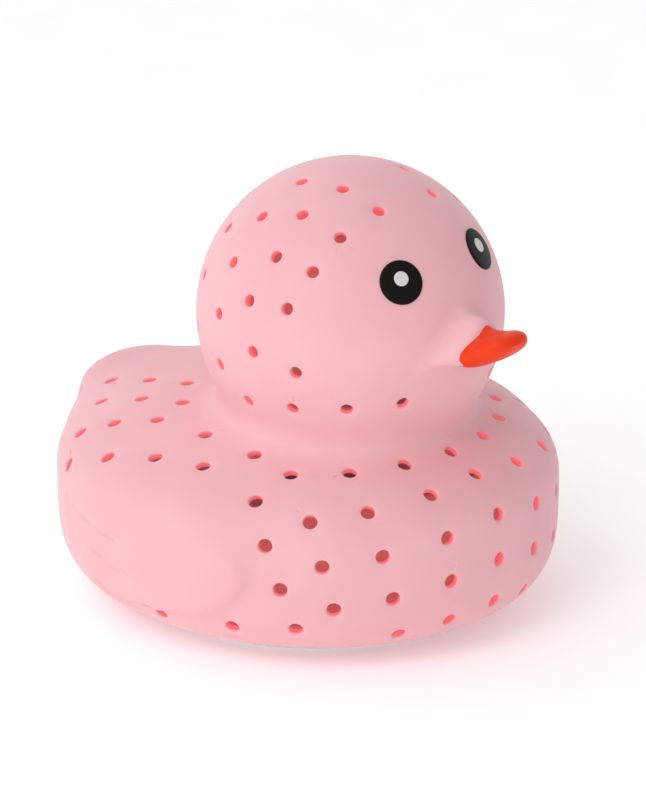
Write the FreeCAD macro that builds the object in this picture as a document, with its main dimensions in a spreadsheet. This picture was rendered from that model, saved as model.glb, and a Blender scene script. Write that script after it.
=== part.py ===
import FreeCAD, Part
import Sketcher
import math
import os
import re

os.makedirs("parts", exist_ok=True)
doc = FreeCAD.newDocument("duck_dispenser")
Vector = FreeCAD.Vector
Rotation = FreeCAD.Rotation
Placement = FreeCAD.Placement

# The frame: Z is up, the duck looks along -Y, and it rests on the plane of z = 0.
# The chlorine canister stands on the Z axis. Lengths are millimetres and angles are degrees.
SIZES = [
    ("skin_wall", 2.5, "vinyl skin, thickness"),
    ("head_radius", 47.5, "head, a sphere"),
    ("head_ahead", 16, "head centre ahead of the Z axis"),
    ("head_level", 96.6, "head centre above the ground"),
    ("body_width", 76, "body, half of its width"),
    ("body_length", 81.2, "body, half of its length"),
    ("body_back", 2.5, "body centre behind the Z axis"),
    ("body_level", 40.2, "widest level of the body"),
    ("body_over", 26, "body, height above its widest level"),
    ("body_under", 39.4, "body, depth below its widest level"),
    ("over_power", 2.6, "roundness above the widest level"),
    ("under_power", 4.3, "roundness below the widest level"),
    ("belly_level", 3, "flat belly above the ground"),
    ("neck_radius", 44.2, "narrowest part of the neck, radius"),
    ("neck_level", 71.5, "narrowest part of the neck, level"),
    ("tail_back", 62.1, "tail centre behind the Z axis"),
    ("tail_level", 50, "tail centre above the ground"),
    ("tail_width", 22, "tail, half of its width"),
    ("tail_length", 28, "tail, half of its length"),
    ("tail_depth", 10, "tail, half of its height"),
    ("tail_rise", 20, "tail, angle that it tips up"),
    ("muzzle_width", 15.4, "muzzle round the bill, half of its width"),
    ("muzzle_length", 12, "muzzle, half of its length"),
    ("muzzle_depth", 9, "muzzle, half of its height"),
    ("muzzle_ahead", 61, "muzzle centre ahead of the Z axis"),
    ("muzzle_level", 101, "muzzle centre above the ground"),
    ("head_hole", 1.85, "head drain hole, radius"),
    ("body_hole", 2.2, "body drain hole, radius"),
    ("eye_radius", 6.8, "eye disc, radius"),
    ("eye_thick", 0.6, "eye disc, thickness"),
    ("eye_turn", 25.5, "eye, angle aside from straight ahead"),
    ("eye_lift", 29, "eyes, mean angle above the level"),
    ("eye_skew", 1.3, "left eye above and right eye below the mean, as an angle"),
    ("glint_radius", 2.26, "white dot of the eye, radius"),
    ("glint_thick", 0.3, "white dot of the eye, thickness"),
    ("glint_lift", 1.2, "white dot, angle above the eye"),
    ("stem_radius", 2, "eye stem through the skin, radius"),
    ("bill_tip", 88.3, "bill tip ahead of the Z axis"),
    ("bill_plug", 6, "bill plug through the skin, radius"),
    ("foot_inner", 42.2, "foot ring, inner radius"),
    ("foot_outer", 51, "foot ring, outer radius"),
    ("belly_hole", 42, "opening in the belly, radius"),
    ("collar_lip", 38.2, "collar, radius inside its lip"),
    ("collar_inner", 39.7, "collar, inner radius"),
    ("collar_neck", 41.7, "collar, radius of its neck"),
    ("collar_wide", 51.5, "collar flange, radius"),
    ("collar_ring", 49, "collar ring, outer radius"),
    ("collar_foot", 1, "collar, lowest level"),
    ("lip_top", 2.2, "collar lip, top level"),
    ("seat_level", 15, "canister flange, underside"),
    ("flange_top", 17.5, "canister flange, top"),
    ("screw_ring", 46.5, "foot screws, distance from the axis"),
    ("screw_radius", 1.5, "M3 screw, radius"),
    ("screw_head", 2.75, "M3 screw head, radius"),
    ("head_tall", 1.7, "M3 screw head, height"),
    ("seat_ring", 44.5, "canister screws, distance from the axis"),
    ("dial_inner", 33, "dial, inner radius"),
    ("dial_face", 37.9, "dial, radius of its visible face"),
    ("dial_outer", 39.4, "dial, radius of its hidden rim"),
    ("dial_foot", 0.8, "dial, lowest level"),
    ("leg_inner", 33.2, "dial legs, inner radius"),
    ("leg_outer", 35.4, "dial legs, outer radius"),
    ("leg_angle", 20, "dial leg, width as an angle"),
    ("dose_angle", 30, "dose dial, whole turn"),
    ("play", 0.3, "clearance between pieces that move"),
    ("mouth_foot", 7.6, "canister mouth, lowest level"),
    ("mouth_bore", 30.5, "canister mouth, inner radius"),
    ("mouth_outer", 32.5, "canister mouth, outer radius"),
    ("ridge_bore", 28.9, "thread ridges, inner radius"),
    ("ridge_thick", 1.6, "thread ridge, thickness"),
    ("thread_lead", 24, "three-start thread, rise in one turn"),
    ("ridge_rise", 6, "thread ridge, rise from end to end"),
    ("ridge_start", 30, "thread ridge, start angle before its lug"),
    ("chamber_bore", 28, "chamber, inner radius"),
    ("chamber_outer", 30, "chamber, outer radius"),
    ("chamber_top", 58, "chamber, ceiling level"),
    ("dome_top", 60, "canister, highest level"),
    ("slot_count", 6, "water slots"),
    ("slot_angle", 24, "water slot, width as an angle"),
    ("slot_low", 22, "water slots, lower end"),
    ("slot_high", 44, "water slots, upper end"),
    ("sleeve_inner", 30.4, "sleeve, inner radius"),
    ("sleeve_outer", 32.4, "sleeve, outer radius"),
    ("sleeve_top", 48, "sleeve, top level"),
    ("key_reach", 26.8, "chamber key rib, distance from the axis"),
    ("key_width", 3, "chamber key rib, width"),
    ("float_inner", 36.5, "foam ring, inner radius"),
    ("float_outer", 62, "foam ring, outer radius"),
    ("float_top", 49.5, "foam ring, top level"),
    ("float_gap", 0.6, "gap between the foam halves"),
    ("hoop_outer", 58, "float retainer, radius"),
    ("hoop_top", 51.5, "float retainer, top level"),
    ("post_ahead", 12, "head post ahead of the Z axis"),
    ("post_radius", 4.5, "head post, radius"),
    ("post_bore", 2.5, "head post, inner radius"),
    ("post_top", 128, "head post, top level"),
    ("ball_radius", 28, "head float, radius"),
    ("ball_level", 95, "head float, centre level"),
    ("cap_foot", 4, "closure, underside of its rim"),
    ("cap_rim", 32.5, "closure, radius of its rim"),
    ("rim_top", 6.2, "closure rim, top"),
    ("cap_core", 28.5, "closure core, radius"),
    ("cap_cavity", 26, "closure, radius of its cavity"),
    ("cap_window", 24, "closure, radius of its opening"),
    ("cap_ceiling", 13.4, "closure, underside of its top plate"),
    ("cap_top", 15.6, "closure, top"),
    ("lug_radius", 30.2, "closure lugs, radius"),
    ("lug_angle", 14, "closure lug, width as an angle"),
    ("lug_tall", 3.2, "closure lug, height"),
    ("seal_top", 7.4, "gasket, top level"),
    ("peg_radius", 4, "tray peg, radius"),
    ("peg_foot", 10, "tray peg, lowest level"),
    ("tray_radius", 27.6, "tray, radius"),
    ("tray_foot", 15.9, "tray, underside"),
    ("tray_top", 18.4, "tray, top"),
    ("clip_radius", 7, "tray clip, outer radius"),
    ("clip_foot", 12, "tray clip, underside"),
    ("clip_top", 13.1, "tray clip, top"),
    ("tablet_radius", 12.7, "chlorine tablet, radius (1 inch tablet)"),
    ("tablet_tall", 16, "chlorine tablet, height"),
    ("tablet_bevel", 1.5, "chlorine tablet, bevel"),
    ("tablet_ring", 14.75, "tablets, distance from the axis"),
    ("ballast_outer", 17.5, "steel weight, radius"),
    ("ballast_inner", 8.5, "steel weight, inner radius"),
    ("ballast_foot", 6.4, "steel weight, underside"),
    ("ballast_top", 11.6, "steel weight, top"),
    ("boss_ring", 21, "cover screws, distance from the axis"),
    ("boss_radius", 2.8, "screw bosses, radius"),
    ("cover_radius", 23.7, "closure cover, radius"),
    ("grip_foot", 0.8, "grip bar, lowest level"),
    ("grip_width", 7, "grip bar, width"),
    ("grip_length", 34, "grip bar, length"),
]
sheet = doc.addObject("Spreadsheet::Sheet", "Sizes")
for row, (alias, value, note) in enumerate(SIZES, start=1):
    sheet.set(f"A{row}", note)
    sheet.set(f"B{row}", str(value))
    sheet.setAlias(f"B{row}", alias)
doc.recompute()
ALIASES = {alias for alias, value, note in SIZES}


def size(alias):
    """A driving dimension as a number."""
    return float(sheet.get(alias))


def formula(text):
    """An expression: every alias in the text gets the sheet's name."""
    return re.sub(r"[a-z_]+", lambda found: "Sizes." + found[0] if found[0] in ALIASES else found[0],
                  str(text))


def size_of(text):
    """The value of an expression."""
    return float(sheet.evalExpression(formula(text)))


def bind(item, **cells):
    """Bind properties to expressions; x, y and z are the item's place."""
    for name, text in cells.items():
        target = "Placement.Base." + name if name in ("x", "y", "z") else name
        item.setExpression(target, formula(text))
    return item


# ---------------------------------------------------------------- building blocks
def ball(name, radius, x, y, z):
    item = doc.addObject("Part::Sphere", name)
    return bind(item, Radius=radius, x=x, y=y, z=z)


def egg(name, width, length, depth, x, y, z):
    """An ellipsoid with half sizes along X, Y and Z."""
    item = doc.addObject("Part::Ellipsoid", name)
    return bind(item, Radius1=depth, Radius2=width, Radius3=length, x=x, y=y, z=z)


def cut(name, base, tool):
    item = doc.addObject("Part::Cut", name)
    item.Base = base
    item.Tool = tool
    return item


def common(name, one, other):
    item = doc.addObject("Part::Common", name)
    item.Base = one
    item.Tool = other
    return item


def fuse(name, pieces):
    item = doc.addObject("Part::MultiFuse", name)
    item.Shapes = pieces
    return item


def new_body(label):
    body = doc.addObject("PartDesign::Body", label)
    body.AllowCompound = True
    return body


def body_plane(body, role):
    return next(item for item in body.Origin.OriginFeatures if item.Role == role)


def section(body, name, corners, turn="0"):
    """A closed outline in an upright plane through the Z axis: each corner is (radius, level)."""
    sketch = body.newObject("Sketcher::SketchObject", name)
    sketch.AttachmentSupport = [(body_plane(body, "XZ_Plane"), "")]
    sketch.MapMode = "FlatFace"
    sketch.AttachmentOffset = Placement(Vector(), Rotation(Vector(0, 1, 0), 0))
    sketch.setExpression("AttachmentOffset.Rotation.Angle", formula(turn))
    places = [(size_of(radius), size_of(level)) for radius, level in corners]
    count = len(places)
    for index in range(count):
        start = Vector(*places[index], 0)
        end = Vector(*places[(index + 1) % count], 0)
        sketch.addGeometry(Part.LineSegment(start, end), False)
    for index, (radius, level) in enumerate(corners):
        sketch.addConstraint(Sketcher.Constraint("Coincident", index - 1 if index else count - 1, 2, index,
                                                 1))
        if places[index][0] == 0:
            sketch.addConstraint(Sketcher.Constraint("PointOnObject", index, 1, -2))
        else:
            rule = sketch.addConstraint(Sketcher.Constraint("DistanceX", -1, 1, index, 1, places[index][0]))
            sketch.setExpression(f"Constraints[{rule}]", formula(radius))
        rule = sketch.addConstraint(Sketcher.Constraint("DistanceY", -1, 1, index, 1, places[index][1]))
        sketch.setExpression(f"Constraints[{rule}]", formula(level))
    return sketch


def revolve(body, name, corners, angle="360", turn="0", removing=False):
    """Turns an outline about Z; a part turn is centred on its angle about Z."""
    sketch = section(body, name + "_outline", corners, turn)
    item = body.newObject("PartDesign::Groove" if removing else "PartDesign::Revolution", name)
    item.Profile = sketch
    item.ReferenceAxis = (sketch, ["V_Axis"])
    item.Midplane = angle != "360"
    item.setExpression("Angle", formula(angle))
    return item


def repeat(body, items, count):
    """A full ring of copies about Z."""
    ring = body.newObject("PartDesign::PolarPattern", items[0].Name + "_ring")
    ring.Originals = items
    ring.Axis = (body_plane(body, "Z_Axis"), [""])
    ring.Angle = 360
    ring.setExpression("Occurrences", formula(count))
    body.Tip = ring
    return ring


def block(body, kind, name, turn=0, **cells):
    """A PartDesign primitive, such as SubtractiveCylinder, placed and then turned about Z."""
    item = body.newObject("PartDesign::" + kind, name)
    item.Placement = Placement(Vector(), Rotation(Vector(0, 0, 1), turn))
    return bind(item, **cells)


def screw_ring(label, ring, count, turn, head_low, head_high, tip, countersunk=False):
    """Identical M3 screws in a circle; the head lies between two levels and the shank ends at the tip."""
    body = new_body(label)
    upward = size_of(tip) > size_of(head_high)
    shank_low = head_high if upward else tip
    shank_high = tip if upward else head_low
    place = dict(x=f"({ring}) * cos({turn})", y=f"({ring}) * sin({turn})")
    shank = block(body, "AdditiveCylinder", label + "_shank", Radius="screw_radius",
                  Height=f"({shank_high}) - ({shank_low})", z=shank_low, **place)
    if countersunk:
        head = block(body, "AdditiveCone", label + "_head", Radius1="screw_radius", Radius2="screw_head",
                     Height=f"({head_high}) - ({head_low})", z=head_low, **place)
    else:
        head = block(body, "AdditiveCylinder", label + "_head", Radius="screw_head",
                     Height=f"({head_high}) - ({head_low})", z=head_low, **place)
    socket = block(body, "SubtractivePrism", label + "_socket", Polygon="6", Circumradius="screw_radius",
                   Height="head_tall / 2", z=head_low if upward else f"({head_high}) - head_tall / 2",
                   **place)
    repeat(body, [shank, head, socket], count)
    return body


def hole_ring(body, name, ring, count, turn, radius, low, high):
    """A circle of round holes between two levels."""
    hole = block(body, "SubtractiveCylinder", name, Radius=radius, Height=f"({high}) - ({low})",
                 x=f"({ring}) * cos({turn})", y=f"({ring}) * sin({turn})", z=low)
    return repeat(body, [hole], count)


# ---------------------------------------------------------------- the vinyl skin
UNDER_ANGLES = (45, 30, 16, 6)
OVER_ANGLES = (0, 7, 18, 30, 42, 52)
HEAD_ANGLES = (-24, -10, 5, 20, 35, 50, 64, 76, 84)
# Neck rings: added half width and length, share of the head's lead, and distance below the neck's level.
NECK_RINGS = [(4.8, 6.8, 0.33, 7.6), (1.8, 2.3, 0.66, 4.5), (0, 0.1, 0.88, 0)]


def form_rings(inset, floor):
    """Level ellipses from belly to crown: half width, half length, centre along Y and level."""
    wide = f"(body_width - {inset})"
    long = f"(body_length - {inset})"
    round_head = f"(head_radius - {inset})"
    belly = f"(1 - ((body_level - {floor}) / (body_under - {inset})) ^ under_power) ^ (1 / under_power)"
    rings = [(f"{wide} * {belly}", f"{long} * {belly}", "body_back", str(floor))]
    for angle in UNDER_ANGLES:
        reach = f"cos({angle}) ^ (2 / under_power)"
        level = f"body_level - (body_under - {inset}) * sin({angle}) ^ (2 / under_power)"
        rings.append((f"{wide} * {reach}", f"{long} * {reach}", "body_back", level))
    for angle in OVER_ANGLES:
        reach = f"cos({angle}) ^ (2 / over_power)"
        level = f"body_level + (body_over - {inset}) * sin({angle}) ^ (2 / over_power)"
        rings.append((f"{wide} * {reach}", f"{long} * {reach}", "body_back", level))
    for wider, longer, ahead, lower in NECK_RINGS:
        rings.append((f"neck_radius + {wider} - {inset}", f"neck_radius + {longer} - {inset}",
                      f"-head_ahead * {ahead}", f"neck_level - {lower} - {inset} * {lower} / 15"))
    for angle in HEAD_ANGLES:
        reach = f"{round_head} * cos({angle})"
        rings.append((reach, reach, "-head_ahead", f"head_level + {round_head} * sin({angle})"))
    return rings


def duck_form(name, inset, floor):
    """Head and body lofted through the rings, with the tail fused on; an inset makes the hollow inside."""
    sections = []
    for half_width, half_length, centre, level in form_rings(inset, floor):
        ring = doc.addObject("Part::Ellipse", name + "_ring")
        ring.Placement = Placement(Vector(), Rotation(Vector(0, 0, 1), 90))
        bind(ring, MajorRadius=half_length, MinorRadius=half_width, y=centre, z=level)
        sections.append(ring)
    body = doc.addObject("Part::Loft", name + "_body")
    body.Sections = sections
    body.Solid = True
    tail = egg(name + "_tail", f"tail_width - {inset}", f"tail_length - {inset}", f"tail_depth - {inset}",
               "0", "tail_back", "tail_level")
    tail.Placement = Placement(tail.Placement.Base, Rotation(Vector(1, 0, 0), size("tail_rise")))
    muzzle = egg(name + "_muzzle", f"muzzle_width - {inset}", f"muzzle_length - {inset}",
                 f"muzzle_depth - {inset}",
                 "0", "-muzzle_ahead", "muzzle_level")
    return fuse(name, [body, tail, muzzle])


def toward(turn, lift):
    """A unit vector: the turn is aside from straight ahead (-Y) towards +X, the lift is above the level."""
    turn = math.radians(turn)
    lift = math.radians(lift)
    return Vector(math.sin(turn) * math.cos(lift), -math.cos(turn) * math.cos(lift), math.sin(lift))


def head_centre():
    return Vector(0, -size("head_ahead"), size("head_level"))


# Each run of head holes: angle aside and lift of the first, steps of both, and count.
HEAD_RUNS = [(26, -19, 22, -1.5, 4), (67, -6, 18, 5, 2), (71.5, 17.5, 17.5, 0, 2), (105, -11.5, 0, 20, 5),
             (63, 32, 19, 3.5, 2), (52, 46, 26, 8, 2), (27.5, 57, 27, 12, 2), (127, 37, 0, -20, 3),
             (150, 48, 0, -21, 4)]
# Each column of body holes: angle aside of the first, lean per hole, highest level and count.
BODY_COLUMNS = [(0, 0, 56.5, 4), (15.5, -1, 55, 4), (32, -2.4, 53, 4), (45.5, -2.6, 51, 3), (59, -3.4, 55, 4),
                (64, 0, 15, 1), (84, 0, 14, 1), (180, 0, 48, 3), (166, 0, 48, 3), (152, 0, 48, 3)]
COLUMN_PITCH = 14.3
COLUMN_STEP = 0.25
# The holes in front of the neck lie on a circle about the Z axis.
FRONT_REACH = 58
FRONT_STEP = 17.6
FRONT_COUNT = 4
# Each row of holes on the back: place of the first, step and count.
BACK_ROWS = [(19, 36.5, 2, 14.8, 3), (32, 25.5, 2.7, 15.5, 3), (46, -19.5, -0.5, 21.5, 3),
             (50.5, 37, 4, 11.3, 2),
             (58.5, -10, 3.5, 17, 3), (64.5, 43, 0, 0, 1)]


def head_spots():
    """Places and outward directions of the head's drain holes, on both sides."""
    spots = []
    for side in (-1, 1):
        for turn, lift, turn_step, lift_step, count in HEAD_RUNS:
            for index in range(count):
                out = toward(side * (turn + turn_step * index), lift + lift_step * index)
                spots.append((head_centre() + out * size("head_radius"), out))
    return spots


def body_out(away, reach, rise, over):
    """The body's outward direction at a place given by its plan offset, plan reach and rise."""
    power = size("over_power") if over else size("under_power")
    tall = size("body_over") if over else -size("body_under")
    out = Vector(away.x / size("body_width") ** 2, away.y / size("body_length") ** 2,
                 0) * reach ** (power - 2)
    out.z = rise ** (power - 1) / tall
    out.normalize()
    return out


def body_spot(turn, level):
    """A place on the body at a level, and its outward direction."""
    over = level > size("body_level")
    power = size("over_power") if over else size("under_power")
    tall = size("body_over") if over else size("body_under")
    rise = abs(level - size("body_level")) / tall
    reach = (1 - rise ** power) ** (1 / power)
    aim = math.radians(turn)
    radius = reach / math.hypot(math.sin(aim) / size("body_width"), math.cos(aim) / size("body_length"))
    away = Vector(radius * math.sin(aim), -radius * math.cos(aim), 0)
    return away + Vector(0, size("body_back"), level), body_out(away, reach, rise, over)


def column_spots(turn, lean, level, count):
    """Holes down one leaning column, a fixed pitch apart."""
    place, out = body_spot(turn, level)
    spots = [(place, out)]
    while len(spots) < count:
        level -= COLUMN_STEP
        beyond, out = body_spot(turn + lean * len(spots), level)
        if (beyond - place).Length >= COLUMN_PITCH:
            place = beyond
            spots.append((place, out))
    return spots


def back_spot(across, along):
    """A place on top of the body and its outward direction."""
    power = size("over_power")
    away = Vector(across, along - size("body_back"), 0)
    reach = math.hypot(away.x / size("body_width"), away.y / size("body_length"))
    rise = (1 - reach ** power) ** (1 / power)
    place = Vector(across, along, size("body_level") + size("body_over") * rise)
    return place, body_out(away, reach, rise, True)


def body_spots():
    """Places and outward directions of the body's drain holes, on both sides."""
    spots = []
    for side in (-1, 1):
        for turn, lean, level, count in BODY_COLUMNS:
            if side == 1 or turn % 180:
                spots += column_spots(side * turn, side * lean, level, count)
        for index in range(FRONT_COUNT):
            if side == 1 or index:
                aim = toward(side * FRONT_STEP * index, 0) * FRONT_REACH
                spots.append(back_spot(aim.x, aim.y))
        for across, along, aside, further, count in BACK_ROWS:
            spots += [back_spot(side * (across + aside * index),
                                along + further * index) for index in range(count)]
    return spots


def drill(place, out, radius, length):
    """A cylinder through the skin at a place."""
    return Part.makeCylinder(radius, length, place - out * (length / 2), out)


# ---------------------------------------------------------------- eyes and bill
def eye_direction(side):
    return toward(side * size("eye_turn"), size("eye_lift") + side * size("eye_skew"))


def aimed(item, direction):
    """Stands an upright primitive at the head's centre and points it in a direction."""
    item.Placement = Placement(head_centre(), Rotation(Vector(0, 0, 1), direction))
    return item


def eye(label, side):
    """A thin disc that follows the head, with a stem through the skin."""
    disc = aimed(doc.addObject("Part::Cylinder", label + "_disc"), eye_direction(side))
    bind(disc, Radius="eye_radius", Height="head_radius + 5")
    stem = aimed(doc.addObject("Part::Cylinder", label + "_stem"), eye_direction(side))
    bind(stem, Radius="stem_radius", Height="head_radius")
    over = ball(label + "_over", "head_radius + eye_thick", "0", "-head_ahead", "head_level")
    face = common(label + "_face", disc, over)
    inside = ball(label + "_inside", "head_radius", "0", "-head_ahead", "head_level")
    cover = cut(label + "_cover", face, inside)
    core = ball(label + "_core", "head_radius - skin_wall - 1.5", "0", "-head_ahead", "head_level")
    return fuse(label, [cover, cut(label + "_peg", stem, core)])


def glint(label, side):
    """The white dot on an eye."""
    direction = toward(side * size("eye_turn"),
                       size("eye_lift") + side * size("eye_skew") + size("glint_lift"))
    disc = aimed(doc.addObject("Part::Cylinder", label + "_disc"), direction)
    bind(disc, Radius="glint_radius", Height="head_radius + 5")
    over = ball(label + "_over", "head_radius + eye_thick + glint_thick", "0", "-head_ahead", "head_level")
    inside = ball(label + "_inside", "head_radius + eye_thick", "0", "-head_ahead", "head_level")
    return cut(label, common(label + "_face", disc, over), inside)


# Bill sections from root to tip: distance ahead of the head's centre, half width, half height and rise.
BILL_SECTIONS = [("40", 8.6, 6.2, 0.5), ("53", 9, 6.2, 2.4), ("60", 8.8, 5.2, 3.8), ("66", 7.6, 3.4, 5.6),
                 ("70", 5.2, 2.4, 7), ("bill_tip - head_ahead", 2.4, 1.2, 7.6)]


def bill(label):
    """An upturned bill lofted through upright ovals, with a plug through the skin."""
    sections = []
    for ahead, half_width, half_height, rise in BILL_SECTIONS:
        oval = doc.addObject("Part::Ellipse", label + "_oval")
        oval.Placement = Placement(Vector(), Rotation(Vector(1, 0, 0), 90))
        oval.MajorRadius = half_width
        oval.MinorRadius = half_height
        bind(oval, y=f"-head_ahead - ({ahead})", z=f"head_level + {rise}")
        sections.append(oval)
    blade = doc.addObject("Part::Loft", label + "_blade")
    blade.Sections = sections
    blade.Solid = True
    outside = cut(label + "_outside", blade, outer_form)
    plug = aimed(doc.addObject("Part::Cylinder", label + "_plug"), toward(0, 0))
    bind(plug, Radius="bill_plug", Height="head_radius + 8")
    core = ball(label + "_core", "head_radius - skin_wall - 2", "0", "-head_ahead", "head_level")
    return fuse(label, [outside, cut(label + "_stem", plug, core)])


outer_form = duck_form("outer", "0", "belly_level")
inner_form = duck_form("inner", "skin_wall", "(belly_level + skin_wall)")
doc.recompute()
SCREW_COUNT = 6
screw_holes = [Vector(size("screw_ring") * math.cos(math.radians(360 * index / SCREW_COUNT)),
                      size("screw_ring") * math.sin(math.radians(360 * index / SCREW_COUNT)), 0)
               for index in range(SCREW_COUNT)]
BELLY_DRILL = 20
STEM_DRILL = 12
PLUG_DRILL = 30
HEAD_DRILL = 14
BODY_DRILL = 16
openings = [Part.makeCylinder(size("belly_hole"), BELLY_DRILL)]
openings += [Part.makeCylinder(size("screw_radius") + 0.2, BELLY_DRILL, place) for place in screw_holes]
openings += [drill(head_centre() + eye_direction(side) * size("head_radius"), eye_direction(side),
                   size("stem_radius"), STEM_DRILL) for side in (-1, 1)]
openings.append(drill(head_centre() + toward(0, 0) * size("head_radius"), toward(0, 0), size("bill_plug"),
                      PLUG_DRILL))
openings += [drill(place, out, size("head_hole"), HEAD_DRILL) for place, out in head_spots()]
openings += [drill(place, out, size("body_hole"), BODY_DRILL) for place, out in body_spots()]
shell = doc.addObject("Part::Feature", "duck_shell")
shell.Shape = outer_form.Shape.cut(inner_form.Shape).cut(openings)
shell.Placement = Placement()

beak = bill("beak")
eye_left = eye("eye_left", 1)
eye_right = eye("eye_right", -1)
glint_left = glint("eye_highlight_left", 1)
glint_right = glint("eye_highlight_right", -1)

# ---------------------------------------------------------------- foot ring, collar and canister
foot_ring = new_body("foot_ring")
revolve(foot_ring, "foot", [("foot_inner", "0"), ("foot_outer - 1", "0"), ("foot_outer", "1"),
                            ("foot_outer", "belly_level"), ("foot_inner", "belly_level")])
hole_ring(foot_ring, "foot_hole", "screw_ring", SCREW_COUNT, "0", "screw_radius + 0.1", "-1",
          "belly_level + 1")
hole_ring(foot_ring, "foot_recess", "screw_ring", SCREW_COUNT, "0", "screw_head + 0.15", "-1",
          "head_tall + 0.3")
foot_screws = screw_ring("foot_screws", "screw_ring", SCREW_COUNT, "0", "0.3", "head_tall + 0.3",
                         "seat_level - 4")

collar = new_body("belly_collar")
revolve(collar, "collar", [("collar_lip", "collar_foot"), ("collar_neck", "collar_foot"),
                           ("collar_neck", "belly_level + skin_wall"),
                           ("collar_wide", "belly_level + skin_wall"),
                           ("collar_wide", "belly_level + skin_wall + 2.5"),
                           ("collar_ring", "belly_level + skin_wall + 2.5"), ("collar_ring", "seat_level"),
                           ("collar_inner", "seat_level"), ("collar_inner", "lip_top"),
                           ("collar_lip", "lip_top")])
hole_ring(collar, "collar_hole", "screw_ring", SCREW_COUNT, "0", "screw_radius", "0", "seat_level - 4")
SEAT_SCREWS = 3
hole_ring(collar, "seat_hole", "seat_ring", SEAT_SCREWS, "30", "screw_radius", "seat_level - 7",
          "seat_level + 1")

canister = new_body("plain_canister")
revolve(canister, "canister", [("mouth_bore", "mouth_foot"), ("mouth_outer", "mouth_foot"),
                               ("mouth_outer", "seat_level"), ("collar_ring", "seat_level"),
                               ("collar_ring", "flange_top"), ("chamber_outer", "flange_top"),
                               ("chamber_outer", "hoop_top + 0.2"), ("chamber_outer + 0.6", "hoop_top + 0.8"),
                               ("chamber_outer", "hoop_top + 1.4"), ("chamber_outer", "chamber_top - 4"),
                               ("chamber_outer - 5", "dome_top"), ("0", "dome_top"), ("0", "chamber_top"),
                               ("chamber_bore - 4", "chamber_top"), ("chamber_bore", "chamber_top - 4"),
                               ("chamber_bore", "flange_top"), ("mouth_bore", "flange_top - 1")])
key = block(canister, "AdditiveBox", "key", Length="key_width", Width="chamber_bore + 1 - key_reach",
            Height="chamber_top - 5 - flange_top", x="-key_width / 2", y="key_reach", z="flange_top")
canister.Tip = key
leg_slot = revolve(canister, "leg_slot", [("leg_inner - play", "seat_level - 1"),
                                          ("leg_outer + play", "seat_level - 1"),
                                          ("leg_outer + play", "flange_top + 1"),
                                          ("leg_inner - play", "flange_top + 1")],
                   "leg_angle + dose_angle + 3", "-dose_angle / 2 + 60", removing=True)
repeat(canister, [leg_slot], "3")
water_slot = revolve(canister, "water_slot",
                     [("chamber_bore - 1", "slot_low"), ("chamber_outer + 1", "slot_low"),
                                              ("chamber_outer + 1", "slot_high"),
                                              ("chamber_bore - 1", "slot_high")],
                     "slot_angle", "0", removing=True)
repeat(canister, [water_slot], "slot_count")
hole_ring(canister, "seat_screw_hole", "seat_ring", SEAT_SCREWS, "30", "screw_radius + 0.1", "seat_level - 1",
          "flange_top + 1")
sink = block(canister, "SubtractiveCone", "seat_sink", Radius1="screw_radius", Radius2="screw_head + 0.1",
             Height="head_tall", x="seat_ring * cos(30)", y="seat_ring * sin(30)", z="flange_top - head_tall")
repeat(canister, [sink], str(SEAT_SCREWS))
post_socket = block(canister, "SubtractiveCylinder", "post_socket", Radius="post_radius",
                    Height="dome_top - chamber_top + 1",
                    y="-post_ahead", z="chamber_top")
canister.Tip = post_socket
canister_screws = screw_ring("canister_screws", "seat_ring", SEAT_SCREWS, "30", "flange_top - head_tall",
                             "flange_top", "seat_level - 6", countersunk=True)

# The three thread ridges rise to the right; each closure lug rests on one of them.
RIDGE_STEPS = 12


def thread_ridge(start):
    """One helical ridge inside the canister's mouth, as a lofted band."""
    steps = []
    inner = size("ridge_bore")
    outer = size("mouth_bore") + 0.4
    half = size("ridge_thick") / 2
    low = size("mouth_foot") + 0.3 + half
    turn = 360 * size("ridge_rise") / size("thread_lead")
    for index in range(RIDGE_STEPS + 1):
        angle = math.radians(start + turn * index / RIDGE_STEPS)
        level = low + size("ridge_rise") * index / RIDGE_STEPS
        away = Vector(math.cos(angle), math.sin(angle), 0)
        corners = [away * inner + Vector(0, 0, level - half / 2), away * outer + Vector(0, 0, level - half),
                   away * outer + Vector(0, 0, level + half), away * inner + Vector(0, 0, level + half / 2)]
        steps.append(Part.makePolygon(corners + [corners[0]]))
    return Part.makeLoft(steps, True, True)


LUG_COUNT = 3
doc.recompute()
threaded = doc.addObject("Part::Feature", "tablet_canister")
ridges = [thread_ridge(360 / LUG_COUNT * index - size("ridge_start")) for index in range(LUG_COUNT)]
threaded.Shape = canister.Shape.fuse(ridges)
threaded.Placement = Placement()

# ---------------------------------------------------------------- foam floats and the head post
float_front = new_body("float_half_front")
FLOAT_OUTLINE = [("float_inner", "flange_top"), ("float_outer - 5", "flange_top"),
                 ("float_outer", "flange_top + 5"),
                 ("float_outer", "float_top - 5"), ("float_outer - 5", "float_top"),
                 ("float_inner", "float_top")]
revolve(float_front, "front_foam", FLOAT_OUTLINE)
block(float_front, "SubtractiveBox", "front_half", Length="3 * float_outer", Width="2 * float_outer",
      Height="2 * float_top",
      x="-1.5 * float_outer", y="-float_gap / 2", z="flange_top - 5")
float_rear = new_body("float_half_rear")
revolve(float_rear, "rear_foam", FLOAT_OUTLINE)
block(float_rear, "SubtractiveBox", "rear_half", Length="3 * float_outer", Width="2 * float_outer",
      Height="2 * float_top",
      x="-1.5 * float_outer", y="float_gap / 2 - 2 * float_outer", z="flange_top - 5")

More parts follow.
